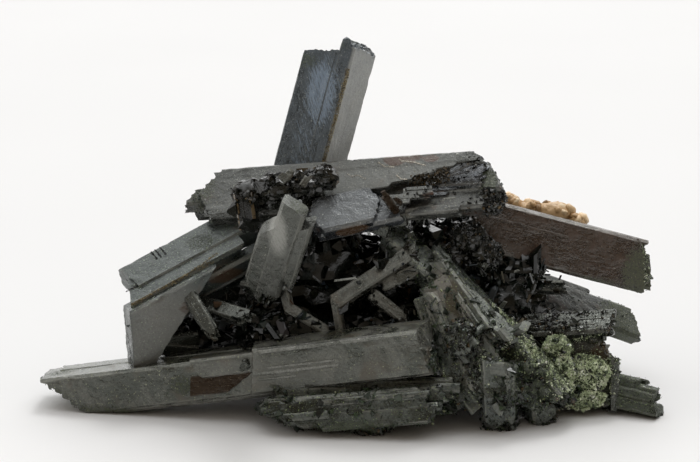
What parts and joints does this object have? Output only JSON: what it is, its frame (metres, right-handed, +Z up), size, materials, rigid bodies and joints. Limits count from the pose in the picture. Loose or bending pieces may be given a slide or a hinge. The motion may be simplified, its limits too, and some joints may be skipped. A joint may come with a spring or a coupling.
{
  "type": "aegirine crystal cluster",
  "caption": "Loose-looking cluster of black aegirine: long striated prisms and blades crossing over a jumble of small ones, with a knobbly green crust and pale grains at one side.",
  "frame": {"origin": "middle of the box around the cluster, on the surface that it rests on", "axes": "+X to the right along the cluster's longest side as one faces its front, +Y from the front to the back, +Z up"},
  "size_m": [0.0816, 0.0378, 0.0468],
  "materials": {
    "aegirine": "glassy black with a green cast, striated along each crystal",
    "brown_aegirine": "glassy brown-black, dusted with pale specks",
    "green_crust": "matt yellow-green, granular",
    "feldspar": "tan, slightly waxy grains"
  },
  "bodies": {
    "root": {"upright_prism": "aegirine", "upper_blade": "aegirine", "left_slab": "aegirine", "front_blade": "aegirine", "right_prism": "brown_aegirine", "near_blade": "aegirine", "back_slab": "aegirine", "back_blade": "aegirine", "rear_prism": "aegirine", "low_rear_prism": "aegirine", "hex_plate": "aegirine", "right_back_blade": "aegirine", "stub_blade": "aegirine", "coated_block": "brown_aegirine", "diagonal_bundle": "aegirine", "front_splinter": "aegirine", "grain_cap": "aegirine", "spark_lump": "aegirine", "green_crust": "green_crust", "feldspar_grains": "feldspar", "jumble": "aegirine"}
  },
  "joints": []
}
